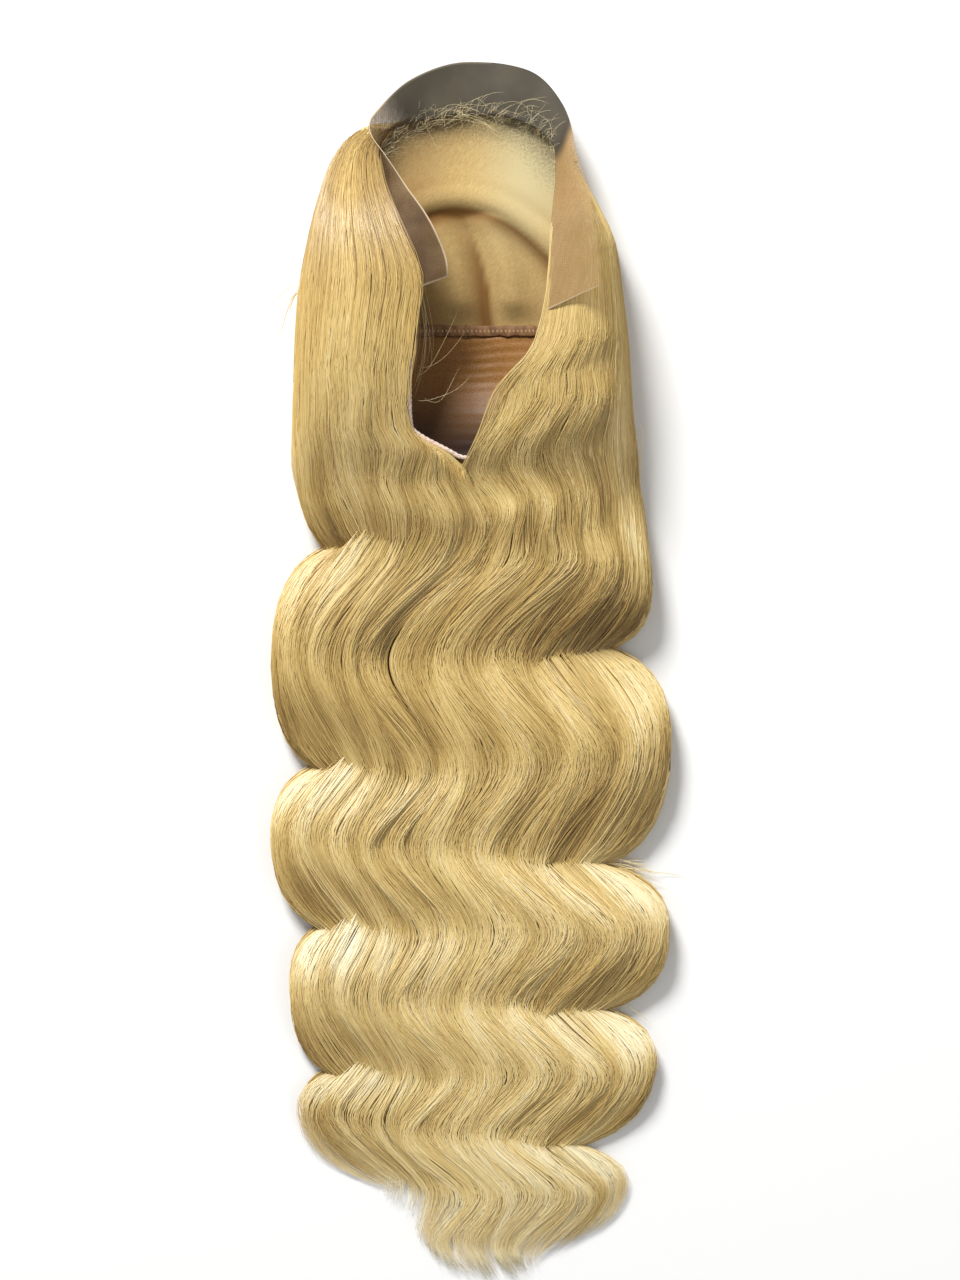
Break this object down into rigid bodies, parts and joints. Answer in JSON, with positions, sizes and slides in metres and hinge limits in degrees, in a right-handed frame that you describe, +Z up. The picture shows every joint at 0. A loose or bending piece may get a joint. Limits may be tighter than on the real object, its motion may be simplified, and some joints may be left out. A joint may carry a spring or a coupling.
{
  "type": "glueless wig",
  "caption": "Long blonde body-wave lace wig lying on its back: an open lace cap with bare front lace, a wefted nape panel and wavy hair falling to loose tips",
  "frame": {"origin": "on the floor, on the flat underside of the back hair, below the middle of the wig's length", "axes": "+Y from the tips towards the forehead, +X to the right seen from above with the tips down, +Z up"},
  "size_m": [0.2485, 0.7563, 0.0818],
  "materials": {
    "bare_lace": "sheer flesh-coloured net",
    "crown_lace": "cream ventilated lace",
    "weft_net": "brown net with satin weft rows",
    "seam_tape": "gathered stitched tape",
    "binding_tape": "woven pale pink tape",
    "blonde_hair": "glossy golden blonde hair"
  },
  "bodies": {
    "root": {"lace_border": "bare_lace", "crown_panel": "crown_lace", "weft_panel": "weft_net", "panel_seam": "seam_tape", "nape_binding": "binding_tape", "hair_left": "blonde_hair", "hair_right": "blonde_hair", "hair_back": "blonde_hair"}
  },
  "joints": []
}
